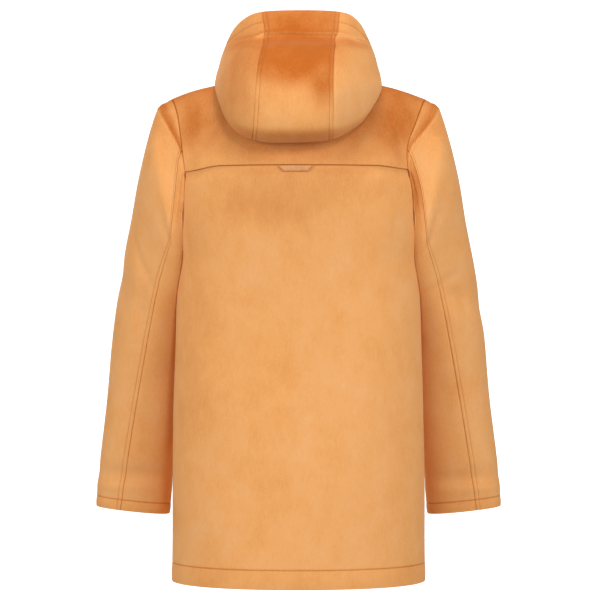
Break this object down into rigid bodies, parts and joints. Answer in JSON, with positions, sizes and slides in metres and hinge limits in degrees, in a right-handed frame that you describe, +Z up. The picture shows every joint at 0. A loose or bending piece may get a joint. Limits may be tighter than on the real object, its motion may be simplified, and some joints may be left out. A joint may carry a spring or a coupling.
{
  "type": "duffle coat",
  "caption": "Hip-length hooded duffle coat of napped wool, filled out as worn, hood down, toggles fastened, open at neck, cuffs and hem.",
  "frame": {"origin": "the middle of the neck opening, level with the points where the shoulders meet the neck, where the wearer's shoulders hold the coat", "axes": "+Z up, the coat's front towards -Y and its back towards +Y, the wearer's left at +X"},
  "size_m": [0.666, 0.3377, 0.8992],
  "materials": {
    "wool": "matte, brushed nap",
    "trim": "smooth, low sheen",
    "cord": "smooth, low sheen",
    "toggle": "polished horn look"
  },
  "bodies": {
    "root": {"back_panel": "wool", "yoke": "wool", "front_left": "wool", "front_right": "wool", "sleeve_left_upper": "wool", "sleeve_left_under": "wool", "sleeve_right_upper": "wool", "sleeve_right_under": "wool", "hood_left": "wool", "hood_centre": "wool", "hood_right": "wool", "hanger_loop": "trim", "toggle_patch_1": "trim", "loop_patch_1": "trim", "toggle_cord_1": "cord", "toggle_loop_1": "cord", "toggle_1": "toggle", "toggle_patch_2": "trim", "loop_patch_2": "trim", "toggle_cord_2": "cord", "toggle_loop_2": "cord", "toggle_2": "toggle", "toggle_patch_3": "trim", "loop_patch_3": "trim", "toggle_cord_3": "cord", "toggle_loop_3": "cord", "toggle_3": "toggle", "toggle_patch_4": "trim", "loop_patch_4": "trim", "toggle_cord_4": "cord", "toggle_loop_4": "cord", "toggle_4": "toggle"}
  },
  "joints": []
}
